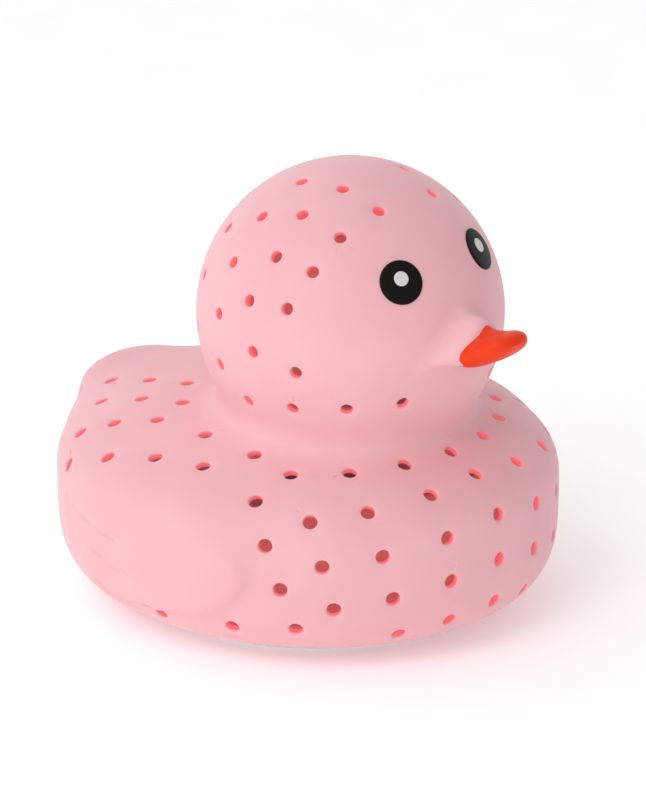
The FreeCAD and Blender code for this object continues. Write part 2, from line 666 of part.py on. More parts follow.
hoop = new_body("float_retainer")
revolve(hoop, "hoop", [("chamber_outer + 0.1", "float_top"), ("hoop_outer", "float_top"),
                       ("hoop_outer", "hoop_top - 0.5"), ("hoop_outer - 1", "hoop_top"),
                       ("chamber_outer + 0.1", "hoop_top")])
HOOP_WINDOWS = 8
window = revolve(hoop, "hoop_window", [("chamber_outer + 6", "float_top - 1"),
                                       ("hoop_outer - 5", "float_top - 1"),
                                       ("hoop_outer - 5", "hoop_top + 1"),
                                       ("chamber_outer + 6", "hoop_top + 1")],
                 "30", "22.5", removing=True)
repeat(hoop, [window], str(HOOP_WINDOWS))

post = new_body("head_post")
revolve(post, "post", [("post_bore", "chamber_top"), ("post_radius", "chamber_top"),
                       ("post_radius", "ball_level - ball_radius - 2.5"),
                       ("post_radius + 5", "ball_level - ball_radius - 2.5"),
                       ("post_radius + 5", "ball_level - ball_radius"),
                       ("post_radius", "ball_level - ball_radius"),
                       ("post_radius", "post_top"), ("post_bore", "post_top")])
bind(post, y="-post_ahead")
head_float = new_body("head_float")
foam = block(head_float, "AdditiveSphere", "foam", Radius="ball_radius", z="ball_level")
head_float.Tip = block(head_float, "SubtractiveCylinder", "foam_bore", Radius="post_radius + 0.1",
                       Height="3 * ball_radius", z="ball_level - 1.5 * ball_radius")
bind(head_float, y="-post_ahead")
post_cap = new_body("post_cap")
revolve(post_cap, "post_knob", [("0", "post_top - 8"), ("post_bore", "post_top - 8"),
                                ("post_bore", "post_top"),
                                ("post_radius + 0.1", "post_top"), ("post_radius + 0.1", "post_top - 5"),
                                ("post_radius + 3", "post_top - 5"), ("post_radius + 3", "post_top + 1"),
                                ("post_radius", "post_top + 3"), ("0", "post_top + 3")])
bind(post_cap, y="-post_ahead")

# ---------------------------------------------------------------- dose dial and sleeve
dial = new_body("dose_dial")
revolve(dial, "dial", [("dial_inner", "dial_foot"), ("dial_face", "dial_foot"),
                       ("dial_face", "lip_top + play"),
                       ("dial_outer", "lip_top + play"), ("dial_outer", "lip_top + play + 2"),
                       ("leg_outer", "lip_top + play + 2"), ("leg_outer", "seat_level - play"),
                       ("leg_inner", "seat_level - play"), ("leg_inner", "lip_top + play"),
                       ("dial_inner", "lip_top + play")])
leg = revolve(dial, "leg", [("leg_inner", "seat_level - play - 1"), ("leg_outer", "seat_level - play - 1"),
                            ("leg_outer", "flange_top + play"), ("leg_inner", "flange_top + play")],
              "leg_angle", "60 - dose_angle")
repeat(dial, [leg], "3")
DIAL_GRIPS = 24
grip = block(dial, "SubtractiveBox", "grip", Length="dial_face - dial_inner - 2", Width="2.2", Height="1",
             x="dial_inner + 1.6", y="-1.1", z="dial_foot - 0.1")
repeat(dial, [grip], str(DIAL_GRIPS))

sleeve = new_body("dose_sleeve")
revolve(sleeve, "sleeve", [("sleeve_inner", "flange_top + play"), ("leg_outer", "flange_top + play"),
                           ("leg_outer", "flange_top + play + 1.4"),
                           ("sleeve_outer", "flange_top + play + 1.4"),
                           ("sleeve_outer", "sleeve_top"), ("sleeve_inner", "sleeve_top")])
sleeve_slot = revolve(sleeve, "sleeve_slot",
                      [("sleeve_inner - 1", "slot_low"), ("sleeve_outer + 1", "slot_low"),
                                              ("sleeve_outer + 1", "slot_high"),
                                              ("sleeve_inner - 1", "slot_high")],
                      "slot_angle", "0", removing=True)
repeat(sleeve, [sleeve_slot], "slot_count")

# ---------------------------------------------------------------- tray, clip and tablets
tray = new_body("tablet_tray")
revolve(tray, "tray", [("0", "peg_foot"), ("peg_radius", "peg_foot"), ("peg_radius", "tray_foot"),
                       ("tray_radius", "tray_foot"), ("tray_radius", "tray_top"), ("0", "tray_top")])
notch = block(tray, "SubtractiveBox", "notch", Length="key_width + 3 * play", Width="5", Height="5",
              x="-key_width / 2 - 1.5 * play", y="key_reach - 2 * play", z="tray_foot - 1")
tray.Tip = notch
clip_groove = revolve(tray, "clip_groove", [("peg_radius - 1", "clip_foot"), ("peg_radius + 1", "clip_foot"),
                                            ("peg_radius + 1", "clip_top"), ("peg_radius - 1", "clip_top")],
                      removing=True)
TRAY_HOLES = 12
hole_ring(tray, "tray_hole", "tray_radius - 8", TRAY_HOLES, "15", "2.2", "tray_foot - 1", "tray_top + 1")
hole_ring(tray, "inner_hole", "tray_radius - 17", TRAY_HOLES // 2, "0", "2.2", "tray_foot - 1",
          "tray_top + 1")
clip = new_body("tray_clip")
revolve(clip, "clip", [("peg_radius - 0.9", "clip_foot"), ("clip_radius", "clip_foot"),
                       ("clip_radius", "clip_top"),
                       ("peg_radius - 0.9", "clip_top")])
gap = block(clip, "SubtractiveBox", "clip_gap", Length="10", Width="4", Height="5", y="-2", z="clip_foot - 1")
clip.Tip = gap

TABLET_LAYERS = 2
TABLETS_ROUND = 3
tablets = new_body("chlorine_tablets")
tablet_parts = []
for layer in range(TABLET_LAYERS):
    low = f"tray_top + {layer} * tablet_tall"
    place = dict(x="tablet_ring * cos(30)", y="tablet_ring * sin(30)")
    tablet_parts += [
        block(tablets, "AdditiveCylinder", "tablet", Radius="tablet_radius",
              Height="tablet_tall - 2 * tablet_bevel",
              z=f"{low} + tablet_bevel", **place),
        block(tablets, "AdditiveCone", "tablet_low", Radius1="tablet_radius - tablet_bevel",
              Radius2="tablet_radius",
              Height="tablet_bevel", z=low, **place),
        block(tablets, "AdditiveCone", "tablet_high", Radius1="tablet_radius",
              Radius2="tablet_radius - tablet_bevel", Height="tablet_bevel - 0.05",
              z=f"{low} + tablet_tall - tablet_bevel", **place)]
repeat(tablets, tablet_parts, str(TABLETS_ROUND))

# ---------------------------------------------------------------- closure
cap = new_body("base_cap")
revolve(cap, "cap", [("cap_window", "cap_foot"), ("cap_rim", "cap_foot"), ("cap_rim", "rim_top"),
                     ("cap_core", "rim_top"), ("cap_core", "cap_top"), ("peg_radius + play", "cap_top"),
                     ("peg_radius + play", "cap_ceiling"), ("cap_cavity", "cap_ceiling"),
                     ("cap_cavity", "rim_top"),
                     ("cap_window", "rim_top")])
lug = revolve(cap, "lug", [("cap_core - 1", "cap_top - lug_tall"), ("lug_radius", "cap_top - lug_tall"),
                           ("lug_radius", "cap_top"), ("cap_core - 1", "cap_top")], "lug_angle", "0")
repeat(cap, [lug], str(LUG_COUNT))
COVER_SCREWS = 3
boss = block(cap, "AdditiveCylinder", "boss", Radius="boss_radius", Height="cap_ceiling - rim_top + 0.2",
             x="boss_ring * cos(90)", y="boss_ring * sin(90)", z="rim_top")
repeat(cap, [boss], str(COVER_SCREWS))
hole_ring(cap, "boss_hole", "boss_ring", COVER_SCREWS, "90", "screw_radius", "rim_top - 1", "cap_ceiling - 1")
RIM_GRIPS = 30
knurl = block(cap, "SubtractiveCylinder", "knurl", Radius="1", Height="rim_top", x="cap_rim + 0.3", z="1")
repeat(cap, [knurl], str(RIM_GRIPS))

seal = new_body("cap_seal")
revolve(seal, "seal", [("cap_core", "rim_top"), ("mouth_outer - 0.3", "rim_top"),
                       ("mouth_outer - 0.3", "seal_top - 0.3"),
                       ("mouth_outer - 0.6", "seal_top"), ("cap_core + 0.3", "seal_top"),
                       ("cap_core", "seal_top - 0.3")])
ballast = new_body("ballast_disc")
revolve(ballast, "ballast", [("ballast_inner", "ballast_foot"), ("ballast_outer", "ballast_foot"),
                             ("ballast_outer", "ballast_top - 0.5"), ("ballast_outer - 0.5", "ballast_top"),
                             ("ballast_inner", "ballast_top")])
cover = new_body("ballast_cover")
revolve(cover, "cover", [("0", "cap_foot"), ("cover_radius", "cap_foot"), ("cover_radius", "rim_top"),
                         ("0", "rim_top")])
grip_bar = block(cover, "AdditiveBox", "grip_bar", Length="grip_length", Width="grip_width",
                 Height="cap_foot - grip_foot + 0.1", x="-grip_length / 2", y="-grip_width / 2",
                 z="grip_foot")
cover.Tip = grip_bar
hole_ring(cover, "cover_hole", "boss_ring", COVER_SCREWS, "90", "screw_radius + 0.1", "cap_foot - 1",
          "rim_top + 1")
sunk = block(cover, "SubtractiveCone", "cover_sink", Radius1="screw_head + 0.1", Radius2="screw_radius",
             Height="head_tall", x="boss_ring * cos(90)", y="boss_ring * sin(90)", z="cap_foot")
repeat(cover, [sunk], str(COVER_SCREWS))
cover_screws = new_body("cover_screws")
place = dict(x="boss_ring * cos(90)", y="boss_ring * sin(90)")
pieces = [block(cover_screws, "AdditiveCylinder", "cover_shank", Radius="screw_radius",
                Height="cap_ceiling - 1 - cap_foot - head_tall", z="cap_foot + head_tall", **place),
          block(cover_screws, "AdditiveCone", "cover_head", Radius1="screw_head", Radius2="screw_radius",
                Height="head_tall", z="cap_foot", **place),
          block(cover_screws, "SubtractivePrism", "cover_socket", Polygon="6",
                Circumradius="screw_radius * 0.8",
                Height="0.9", z="cap_foot", **place)]
repeat(cover_screws, pieces, str(COVER_SCREWS))

# ---------------------------------------------------------------- check and write
doc.recompute()
NODES = {
    "duck_shell": shell, "beak": beak, "eye_left": eye_left, "eye_right": eye_right,
    "eye_highlight_left": glint_left, "eye_highlight_right": glint_right, "foot_ring": foot_ring,
    "foot_screws": foot_screws, "belly_collar": collar, "tablet_canister": threaded,
    "canister_screws": canister_screws, "float_half_front": float_front, "float_half_rear": float_rear,
    "float_retainer": hoop, "head_post": post, "head_float": head_float, "post_cap": post_cap,
    "dose_dial": dial,
    "dose_sleeve": sleeve, "tablet_tray": tray, "tray_clip": clip, "chlorine_tablets": tablets,
    "base_cap": cap,
    "cap_seal": seal, "ballast_disc": ballast, "ballast_cover": cover, "cover_screws": cover_screws,
}
for item in doc.Objects:
    if "Invalid" in item.State or "Error" in item.State:
        raise SystemExit(f"{item.Name} failed: {item.getStatusString()}")
for node, item in NODES.items():
    item.Label = node
    if item.Shape.isNull() or not item.Shape.isValid():
        raise SystemExit(f"{node} has no valid shape")
    item.Shape.exportStep(f"parts/{node}.step")
    print(node, round(item.Shape.Volume), len(item.Shape.Solids), item.Shape.optimalBoundingBox(False))
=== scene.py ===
# A perforated vinyl duck that floats in a pool and doses chlorine, standing on a white table.
import math
import bpy
import numpy as np
from mathutils import Matrix, Vector


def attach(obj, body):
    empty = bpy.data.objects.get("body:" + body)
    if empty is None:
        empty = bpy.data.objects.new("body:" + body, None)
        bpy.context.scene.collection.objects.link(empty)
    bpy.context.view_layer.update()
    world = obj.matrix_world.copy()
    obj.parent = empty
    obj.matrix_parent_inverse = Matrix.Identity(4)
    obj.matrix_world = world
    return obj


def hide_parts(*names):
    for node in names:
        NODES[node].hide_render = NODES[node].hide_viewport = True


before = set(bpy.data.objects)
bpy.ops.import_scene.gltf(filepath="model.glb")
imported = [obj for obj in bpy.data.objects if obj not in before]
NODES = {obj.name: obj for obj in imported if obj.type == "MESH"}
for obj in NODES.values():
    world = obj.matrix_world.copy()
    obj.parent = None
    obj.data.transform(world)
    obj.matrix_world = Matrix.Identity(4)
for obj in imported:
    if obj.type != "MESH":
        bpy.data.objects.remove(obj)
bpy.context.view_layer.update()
MM = 0.001

# ---------------------------------------------------------------- the duck's form, in millimetres
HEAD_CENTRE = np.array([0.0, -16.0, 96.6])
HEAD_RADIUS = 47.5
BODY_HALF = (76.0, 81.2)
BODY_MIDDLE = 2.5
BODY_LEVEL = 40.2
BODY_OVER = 26.0
BODY_UNDER = 39.4
OVER_POWER = 2.6
UNDER_POWER = 4.3
BELLY_LEVEL = 3.0
NECK_ROUND = 12.0
# centre, half sizes and blending distance
TAIL_LUMPS = [((0, 67, 44), (28, 20, 12), 15), ((0, 84, 50.8), (14, 7, 5.5), 13)]
# the muzzle stands on the head; its places are from the head's centre
MUZZLE_FRONT = 58.0
MUZZLE_BEND = 0.052
MUZZLE_TOP = 13.0
MUZZLE_ROUND = 3.0
MUZZLE_FOOT = -3.4
MUZZLE_SLOPE = (0.707, 0.707)
MUZZLE_EDGE = 2.0
MUZZLE_LEAN = 0.03
MUZZLE_BLEND = 4.0
GRID_STEP = 1.6
SKIN_WALL = 2.5
BELLY_HOLE = 42.0


def smooth_union(one, other, width):
    """The smaller of two distances, blended over a width."""
    share = np.clip(0.5 + 0.5 * (other - one) / width, 0, 1)
    return other * (1 - share) + one * share - width * share * (1 - share)


def egg(point, centre, half):
    """About the distance from an ellipsoid."""
    scaled = (point - np.array(centre, float)) / np.array(half, float)
    length = np.sqrt((scaled ** 2).sum(-1))
    slope = np.sqrt(((scaled / np.array(half, float)) ** 2).sum(-1))
    return length * (length - 1) / np.maximum(slope, 1e-6)


def round_body(point):
    """About the distance from the body, an oval superellipsoid."""
    across = point[..., 0]
    along = point[..., 1] - BODY_MIDDLE
    above = point[..., 2] - BODY_LEVEL
    power = np.where(above > 0, OVER_POWER, UNDER_POWER)
    tall = np.where(above > 0, BODY_OVER, BODY_UNDER)
    reach = np.maximum(np.sqrt((across / BODY_HALF[0]) ** 2 + (along / BODY_HALF[1]) ** 2), 1e-6)
    rise = np.maximum(np.abs(above) / tall, 1e-6)
    gauge = (reach ** power + rise ** power) ** (1 / power)
    oval_slope = (across / BODY_HALF[0] ** 2) ** 2 + (along / BODY_HALF[1] ** 2) ** 2
    level_slope = reach ** (2 * power - 4) * oval_slope
    slope = gauge ** (1 - power) * np.sqrt(level_slope + rise ** (2 * power - 2) / tall ** 2)
    return (gauge - 1) / np.maximum(slope, 1e-4)


def smooth_cut(one, other, width):
    """The larger of two distances, blended over a width."""
    return -smooth_union(-one, -other, width)


def muzzle(point):
    """About the distance from the low three-cornered swelling that the bill stands on."""
    place = point - HEAD_CENTRE
    across = np.abs(place[..., 0])
    lifted = np.maximum(place[..., 2], 0)
    front = -place[..., 1] - MUZZLE_FRONT + MUZZLE_BEND * across ** 2 + MUZZLE_LEAN * lifted ** 2
    side = MUZZLE_SLOPE[0] * np.hypot(across, MUZZLE_ROUND) + MUZZLE_SLOPE[1] * (place[..., 2] - MUZZLE_TOP)
    shape = smooth_cut(smooth_cut(front, side, MUZZLE_EDGE), MUZZLE_FOOT - place[..., 2], MUZZLE_EDGE)
    return np.maximum(shape, place[..., 1] + HEAD_RADIUS / 2)


def duck_distance(point):
    """About the distance from the duck's plain outside, negative inside."""
    body = round_body(point)
    for centre, half, width in TAIL_LUMPS:
        body = smooth_union(body, egg(point, centre, half), width)
    head = np.sqrt(((point - HEAD_CENTRE) ** 2).sum(-1)) - HEAD_RADIUS
    whole = smooth_union(head, body, NECK_ROUND)
    whole = smooth_union(whole, muzzle(point), MUZZLE_BLEND)
    return np.maximum(whole, BELLY_LEVEL - point[..., 2])


def outward(point, distance=duck_distance, reach=0.05):
    """Unit gradient of a distance, by default the duck's."""
    slope = np.empty_like(point)
    for axis in range(3):
        step = np.zeros(3)
        step[axis] = reach
        slope[..., axis] = distance(point + step) - distance(point - step)
    return slope / np.maximum(np.linalg.norm(slope, axis=-1, keepdims=True), 1e-9)


def settle(point, rounds=3, distance=duck_distance):
    """Moves points onto a surface, by default the duck's."""
    for _ in range(rounds):
        point = point - outward(point, distance) * distance(point)[..., None]
    return point


# ---------------------------------------------------------------- from the form to a mesh
def surface_net(low, high, step, distance=duck_distance):
    """A quad mesh of a surface, one vertex in each grid cell that the surface crosses."""
    axes = [np.arange(low[axis], high[axis] + step, step) for axis in range(3)]
    lattice = np.stack(np.meshgrid(*axes, indexing="ij"), -1)
    value = distance(lattice)
    inside = value < 0
    cells_wide = [len(axis) - 1 for axis in axes]
    corners = [(i, j, k) for i in (0, 1) for j in (0, 1) for k in (0, 1)]
    count = np.zeros(cells_wide, int)
    for i, j, k in corners:
        count += inside[i:cells_wide[0] + i, j:cells_wide[1] + j, k:cells_wide[2] + k]
    crossed = (count > 0) & (count < 8)
    cells = np.argwhere(crossed)
    number = np.full(crossed.shape, -1)
    number[crossed] = np.arange(len(cells))
    total = np.zeros((len(cells), 3))
    hits = np.zeros(len(cells))
    for one in corners:
        for other in corners:
            if sum(other) - sum(one) != 1 or any(b < a for a, b in zip(one, other)):
                continue
            near = value[tuple((cells + one).T)]
            far = value[tuple((cells + other).T)]
            found = (near < 0) != (far < 0)
            share = (near[found] / (near[found] - far[found]))[:, None]
            total[found] += np.array(one) + share * (np.array(other) - np.array(one))
            hits[found] += 1
    points = np.array(low) + step * (cells + total / hits[:, None])
    quads = []
    for axis in range(3):
        others = [a for a in range(3) if a != axis]
        here = inside.take(range(inside.shape[axis] - 1), axis)
        beyond = inside.take(range(1, inside.shape[axis]), axis)
        edges = np.argwhere(here != beyond)
        ring = []
        for first, second in ((0, 0), (1, 0), (1, 1), (0, 1)):
            cell = edges.copy()
            cell[:, others[0]] -= first
            cell[:, others[1]] -= second
            ring.append(number[tuple(cell.T)])
        ring = np.stack(ring, 1)
        flip = here[tuple(edges.T)] == (axis == 1)
        ring[flip] = ring[flip][:, ::-1]
        quads.append(ring)
    return points, np.concatenate(quads)


def even_out(points, faces, rounds=6, distance=duck_distance):
    """Slides points along the surface towards the middle of their neighbours."""
    for _ in range(rounds):
        total = np.zeros_like(points)
        hits = np.zeros(len(points))
        for side in range(4):
            here = faces[:, side]
            after = faces[:, (side + 1) % 4]
            np.add.at(total, here, points[after])
            np.add.at(total, after, points[here])
            np.add.at(hits, here, 1)
            np.add.at(hits, after, 1)
        points = settle(points + 0.5 * (total / hits[:, None] - points), 1, distance)
    return settle(points, 3, distance)


# ---------------------------------------------------------------- where the drain holes are
def toward(turn, lift):
    """A unit vector: the turn is aside from straight ahead (-Y) towards +X, the lift is above the level."""
    turn = math.radians(turn)
    lift = math.radians(lift)
    return np.array([math.sin(turn) * math.cos(lift), -math.cos(turn) * math.cos(lift), math.sin(lift)])


HEAD_HOLE = 1.85
BODY_HOLE = 2.2
# each run of head holes: angle aside and lift of the first, steps of both, and count
HEAD_RUNS = [(26, -19, 22, -1.5, 4), (67, -6, 18, 5, 2), (71.5, 17.5, 17.5, 0, 2), (105, -11.5, 0, 20, 5),
             (63, 32, 19, 3.5, 2), (52, 46, 26, 8, 2), (27.5, 57, 27, 12, 2), (127, 37, 0, -20, 3),
             (150, 48, 0, -21, 4)]
# each column of body holes: angle aside of the first, lean per hole, highest level and count
BODY_COLUMNS = [(0, 0, 56.5, 4), (15.5, -1, 55, 4), (32, -2.4, 53, 4), (45.5, -2.6, 51, 3), (59, -3.4, 55, 4),
                (64, 0, 15, 1), (84, 0, 14, 1), (180, 0, 48, 3), (166, 0, 48, 3), (152, 0, 48, 3)]
COLUMN_PITCH = 14.3
# how far the search for the next hole goes down at a time
COLUMN_STEP = 0.25
# the holes in front of the neck, on a circle about the Z axis
FRONT_REACH = 58.0
FRONT_STEP = 17.6
FRONT_COUNT = 4
# each row of holes on the back: place of the first, step and count
BACK_ROWS = [(19, 36.5, 2, 14.8, 3), (32, 25.5, 2.7, 15.5, 3), (46, -19.5, -0.5, 21.5, 3),
             (50.5, 37, 4, 11.3, 2), (58.5, -10, 3.5, 17, 3), (64.5, 43, 0, 0, 1)]


def body_spot(turn, level):
    """A place near the body's surface at a level and a turn aside from straight ahead."""
    over = level > BODY_LEVEL
    power = OVER_POWER if over else UNDER_POWER
    tall = BODY_OVER if over else BODY_UNDER
    reach = (1 - (abs(level - BODY_LEVEL) / tall) ** power) ** (1 / power)
    aim = math.radians(turn)
    radius = reach / math.hypot(math.sin(aim) / BODY_HALF[0], math.cos(aim) / BODY_HALF[1])
    return np.array([radius * math.sin(aim), BODY_MIDDLE - radius * math.cos(aim), level])


def column_spots(turn, lean, level, count):
    """Holes down one leaning column, a fixed pitch apart."""
    spots = [body_spot(turn, level)]
    while len(spots) < count:
        level -= COLUMN_STEP
        beyond = body_spot(turn + lean * len(spots), level)
        if np.linalg.norm(beyond - spots[-1]) >= COLUMN_PITCH:
            spots.append(beyond)
    return spots


def back_spot(across, along):
    """A place on top of the body."""
    reach = math.hypot(across / BODY_HALF[0], (along - BODY_MIDDLE) / BODY_HALF[1])
    return np.array([across, along, BODY_LEVEL + BODY_OVER * (1 - reach ** OVER_POWER) ** (1 / OVER_POWER)])


def hole_list():
    """Every drain hole: its place on the surface, its outward direction and its radius."""
    places = []
    for side in (-1, 1):
        for turn, lift, turn_step, lift_step, count in HEAD_RUNS:
            for index in range(count):
                out = toward(side * (turn + turn_step * index), lift + lift_step * index)
                places.append((HEAD_CENTRE + out * HEAD_RADIUS, HEAD_HOLE))
        for turn, lean, level, count in BODY_COLUMNS:
            if side == 1 or turn % 180:
                places += [(spot, BODY_HOLE) for spot in column_spots(side * turn, side * lean, level, count)]
        for index in range(FRONT_COUNT):
            if side == 1 or index:
                aim = toward(side * FRONT_STEP * index, 0) * FRONT_REACH
                places.append((back_spot(aim[0], aim[1]), BODY_HOLE))
        for across, along, aside, further, count in BACK_ROWS:
            places += [(back_spot(side * (across + aside * index), along + further * index), BODY_HOLE)
                       for index in range(count)]
    spots = settle(np.array([place for place, radius in places]), 6)
    return list(zip(spots, outward(spots), [radius for place, radius in places]))


# ---------------------------------------------------------------- wing relief
WING_MIDDLE = (92.0, 38.0)
WING_HALF = (45.0, 22.5)
WING_POWER = 2.5
WING_RAISE = 2.5
# how softly the wing ends: at its lower front edge, then added upwards and rearwards
WING_SOFT = (0.09, 0.45, 0.25)
# each feather line: rear and front angle from straight ahead, rear and front level
FEATHER_LINES = [(120, 93, 41, 35.3), (116, 89, 31, 26), (109, 88, 19.5, 15)]
FEATHER_DEPTH = 2.0
FEATHER_FADE = 11.0
FEATHER_SHARP = 0.9
FEATHER_CURVE = 1.6
# the relief of the wing fades out between these levels, below the head
HEAD_START = (60, 66)
CROWN_NUB = 0.7
CROWN_WIDE = 1.6


def step_up(value, low, high):
    """A smooth step from 0 to 1."""
    share = np.clip((value - low) / (high - low), 0, 1)
    return share * share * (3 - 2 * share)


def flank_chart(point):
    """Angle from straight ahead, in degrees, and level of a point on either flank."""
    turn = np.degrees(np.arctan2(np.abs(point[..., 0]), BODY_MIDDLE - point[..., 1]))
    return turn, point[..., 2]


def relief(point):
    """How far the finished skin stands off the plain form."""
    turn, level = flank_chart(point)
    around = np.radians(turn - WING_MIDDLE[0]) * BODY_HALF[0]
    up = level - WING_MIDDLE[1]
    gauge = np.abs(around / WING_HALF[0]) ** WING_POWER + np.abs(up / WING_HALF[1]) ** WING_POWER
    gauge = gauge ** (1 / WING_POWER)
    soft = WING_SOFT[0] + WING_SOFT[1] * step_up(up, -8, 16) + WING_SOFT[2] * step_up(around, 5, 40)
    raised = WING_RAISE * (1 - step_up(gauge, 1 - soft, 1 + soft * 0.2))
    on_body = step_up(-level, -HEAD_START[1], -HEAD_START[0])
    for rear, front, rear_level, front_level in FEATHER_LINES:
        share = (turn - front) / (rear - front)
        line = front_level + (rear_level - front_level) * np.clip(share, 0, 1) ** FEATHER_CURVE
        ends = step_up(share, -0.02, 0.18) * step_up(-share, -1.05, -0.8)
        below = level - line
        tuck = step_up(-below, -FEATHER_SHARP, FEATHER_SHARP)
        tuck = tuck * (1 - step_up(-below, FEATHER_SHARP, FEATHER_FADE))
        raised = raised - FEATHER_DEPTH * ends * tuck
    crown = np.hypot(point[..., 0], point[..., 1] - HEAD_CENTRE[1])
    nub = CROWN_NUB * np.exp(-(crown / CROWN_WIDE) ** 2) * (point[..., 2] > HEAD_CENTRE[2])
    return raised * on_body + nub


# ---------------------------------------------------------------- the perforated skin
RIM_COUNT = 20
BELLY_RIM_COUNT = 144
LIP = 0.5
HOLE_MARGIN = 1.25 * GRID_STEP
# how far from a hole's plane a point may be and still belong to its patch
HOLE_DEPTH = 12.0
# depths of the rings inside a hole: below the lip, where the wall starts and above its end
LIP_DROP = 0.12
WALL_START = 0.5
WALL_END = 0.4
# half the distance over which the surface's direction is measured for the relief
RELIEF_REACH = 0.8
SKIN_LOW = (-80, -84, -1)
SKIN_HIGH = (80, 98, 148)


def ring_about(place, out, radius, count):
    """Points of a circle about a direction, anticlockwise seen from outside."""
    side = np.cross(out, [0.0, 0.0, 1.0] if abs(out[2]) < 0.9 else [0.0, 1.0, 0.0])
    side /= np.linalg.norm(side)
    ahead = np.cross(out, side)
    angles = 2 * math.pi * np.arange(count) / count
    return place + radius * (np.outer(np.cos(angles), side) + np.outer(np.sin(angles), ahead)), side, ahead


class Skin:
    """The outer surface as points and faces, with holes cut out of it."""

    def __init__(self, points, faces):
        self.points = list(points)
        self.faces = [tuple(face) for face in faces]
        self.alive = [True] * len(self.faces)
        self.start = np.array(points)
        self.uses = {}
        for number, face in enumerate(self.faces):
            for corner in face:
                self.uses.setdefault(corner, []).append(number)

    def open_hole(self, place, out, radius, clear, count):
        """Cuts a round hole and returns the numbers of its rim points."""
        away = self.start - place
        height = away @ out
        off = np.linalg.norm(away - np.outer(height, out), axis=1)
        near = np.nonzero((off < clear) & (np.abs(height) < HOLE_DEPTH))[0]
        gone = sorted({number for corner in near for number in self.uses.get(corner, ())})
        after = {}
        directed = {(face[i], face[(i + 1) % len(face)]) for number in gone for face in [self.faces[number]]
                    for i in range(len(face))}
        for here, there in directed:
            if (there, here) not in directed:
                after[here] = there
        for number in gone:
            self.alive[number] = False
        ring, side, ahead = ring_about(place, out, radius, count)
        ring = settle(ring, 2)
        first = len(self.points)
        self.points += list(ring)
        rim = list(range(first, first + count))
        loop = [next(iter(after))]
        while after[loop[-1]] != loop[0]:
            loop.append(after[loop[-1]])

        def clock(number):
            away = self.points[number] - place
            return math.atan2(away @ ahead, away @ side)

        self.sew(loop, rim, clock)
        return rim

    def sew(self, loop, rim, clock):
        """Fills the band between the torn edge and the rim with triangles."""
        nearest = min(range(len(loop)), key=lambda i: abs(clock(loop[i]) - clock(rim[0])))
        loop = loop[nearest:] + loop[:nearest]
        start = clock(rim[0])

        def progress(numbers):
            total = [0.0]
            for here, there in zip(numbers, numbers[1:] + numbers[:1]):
                turn = (clock(there) - clock(here) + math.pi) % (2 * math.pi) - math.pi
                total.append(total[-1] + turn)
            return total

        offset = (clock(loop[0]) - start + math.pi) % (2 * math.pi) - math.pi
        outer = [offset + angle for angle in progress(loop)]
        inner = progress(rim)
        i = j = 0
        while i < len(loop) or j < len(rim):
            here = loop[i % len(loop)]
            base = rim[j % len(rim)]
            if j >= len(rim) or (i < len(loop) and outer[i + 1] <= inner[j + 1]):
                self.faces.append((here, loop[(i + 1) % len(loop)], base))
                i += 1
            else:
                self.faces.append((here, rim[(j + 1) % len(rim)], base))
                j += 1
            self.alive.append(True)


# slot of the hole walls and the inside, which take the glowing deeper coral copy of the vinyl: painted light
WALL_MATERIAL = 1


def build_skin():
    """The finished skin: outside, hole walls and inside, as points, faces and a material for each face."""
    points, faces = surface_net(SKIN_LOW, SKIN_HIGH, GRID_STEP)
    points = even_out(points, faces)
    skin = Skin(points, faces)
    rims = []
    for place, out, radius in hole_list():
        clear = radius + LIP + HOLE_MARGIN
        rims.append((skin.open_hole(place, out, radius + LIP, clear, RIM_COUNT), place, out))
    belly = np.array([0.0, 0.0, BELLY_LEVEL])
    down = np.array([0.0, 0.0, -1.0])
    belly_rim = skin.open_hole(belly, down, BELLY_HOLE, BELLY_HOLE + GRID_STEP, BELLY_RIM_COUNT)
    rims.append((belly_rim, belly, down))
    plain = np.array(skin.points)
    out = outward(plain, reach=RELIEF_REACH)
    finished = plain + out * relief(plain)[:, None]
    within = finished - out * SKIN_WALL
    outer = [face for face, alive in zip(skin.faces, skin.alive) if alive]
    count = len(finished)
    all_points = [finished, within]
    all_faces = outer + [tuple(count + corner for corner in reversed(face)) for face in outer]
    kinds = [0] * len(outer) + [WALL_MATERIAL] * len(outer)
    total = 2 * count
    for rim, place, direction in rims:
        edge = finished[rim]
        inward = place - edge
        inward -= np.outer(inward @ direction, direction)
        inward /= np.linalg.norm(inward, axis=1)[:, None]
        rings = [edge + inward * (LIP * 0.7) - direction * LIP_DROP,
                 edge + inward * LIP - direction * WALL_START,
                 edge + inward * LIP - direction * (SKIN_WALL - WALL_END)]
        numbers = [np.array(rim)]
        for ring in rings:
            all_points.append(ring)
            numbers.append(total + np.arange(len(rim)))
            total += len(rim)
        numbers.append(count + np.array(rim))
        for level, (near, far) in enumerate(zip(numbers, numbers[1:])):
            near_next = np.roll(near, -1)
            far_next = np.roll(far, -1)
            all_faces += [tuple(map(int, quad)) for quad in zip(near, near_next, far_next, far)]
            kinds += [0 if level < 2 else WALL_MATERIAL] * len(rim)
    return np.concatenate(all_points), all_faces, kinds


